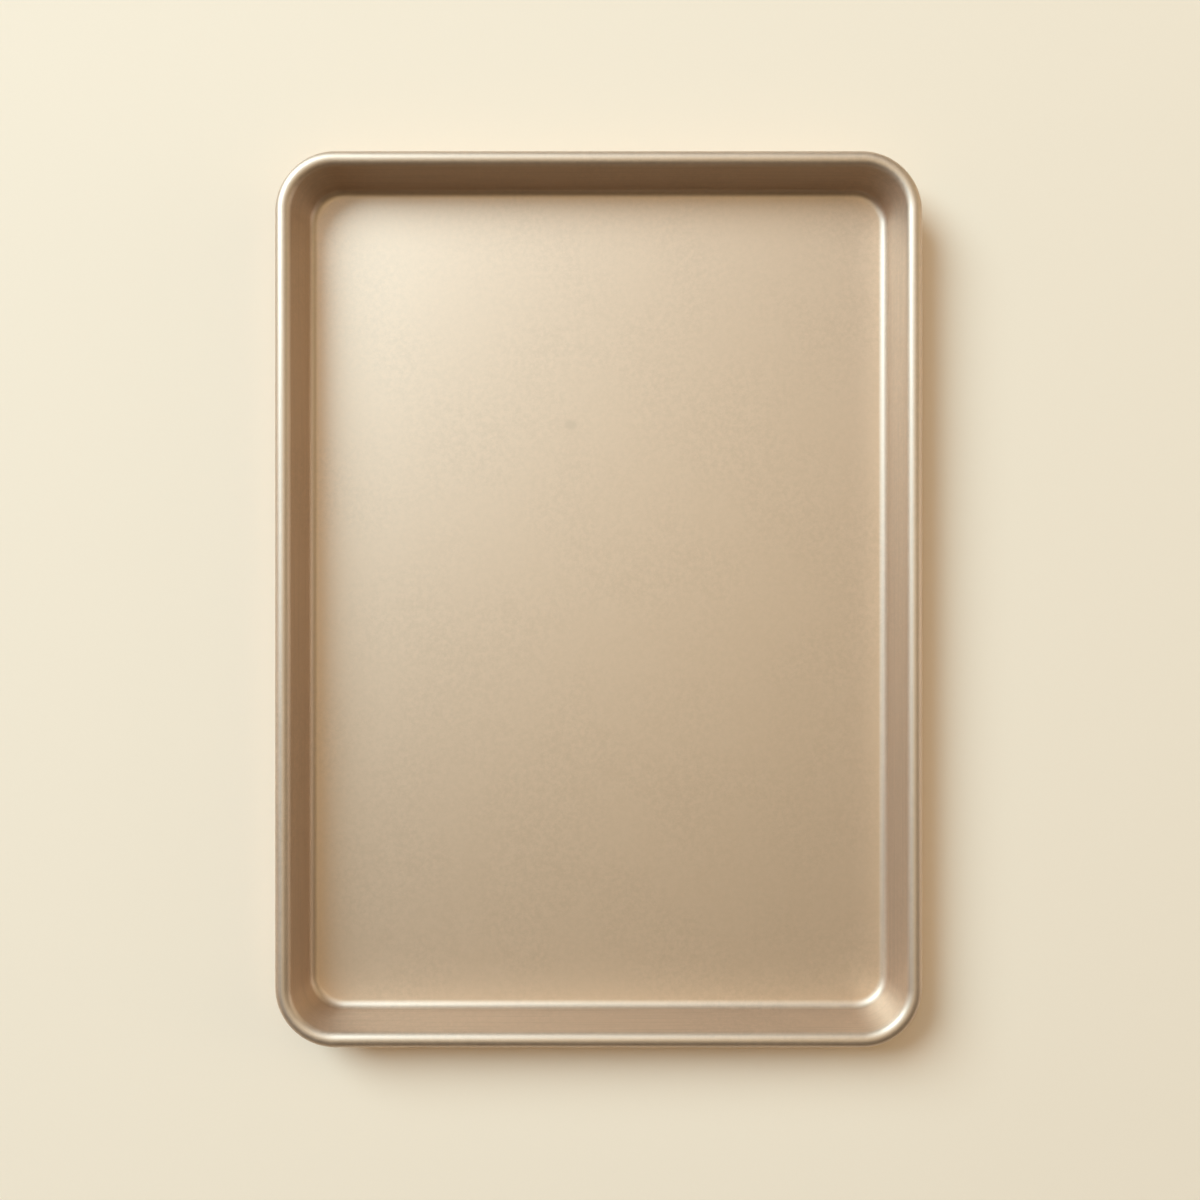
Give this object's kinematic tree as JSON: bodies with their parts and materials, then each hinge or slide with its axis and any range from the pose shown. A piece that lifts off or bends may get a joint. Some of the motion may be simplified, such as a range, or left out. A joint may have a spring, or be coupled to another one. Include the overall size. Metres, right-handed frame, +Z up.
{
  "type": "rimmed baking sheet",
  "caption": "Shallow rectangular metal baking tray with rounded corners, sloping walls and a rim rolled round a stiffening wire, for baking and roasting flat food.",
  "frame": {"origin": "centre of the underside, on the surface that the tray stands on", "axes": "+Z up, with the open side of the tray facing +Z; the long sides lie along Y and the short sides along X"},
  "size_m": [0.3302, 0.4572, 0.0254],
  "materials": {
    "champagne_coat": "satin",
    "galvanised_wire": "satin"
  },
  "bodies": {
    "root": {"pan_shell": "champagne_coat", "rim_wire": "galvanised_wire"}
  },
  "joints": []
}
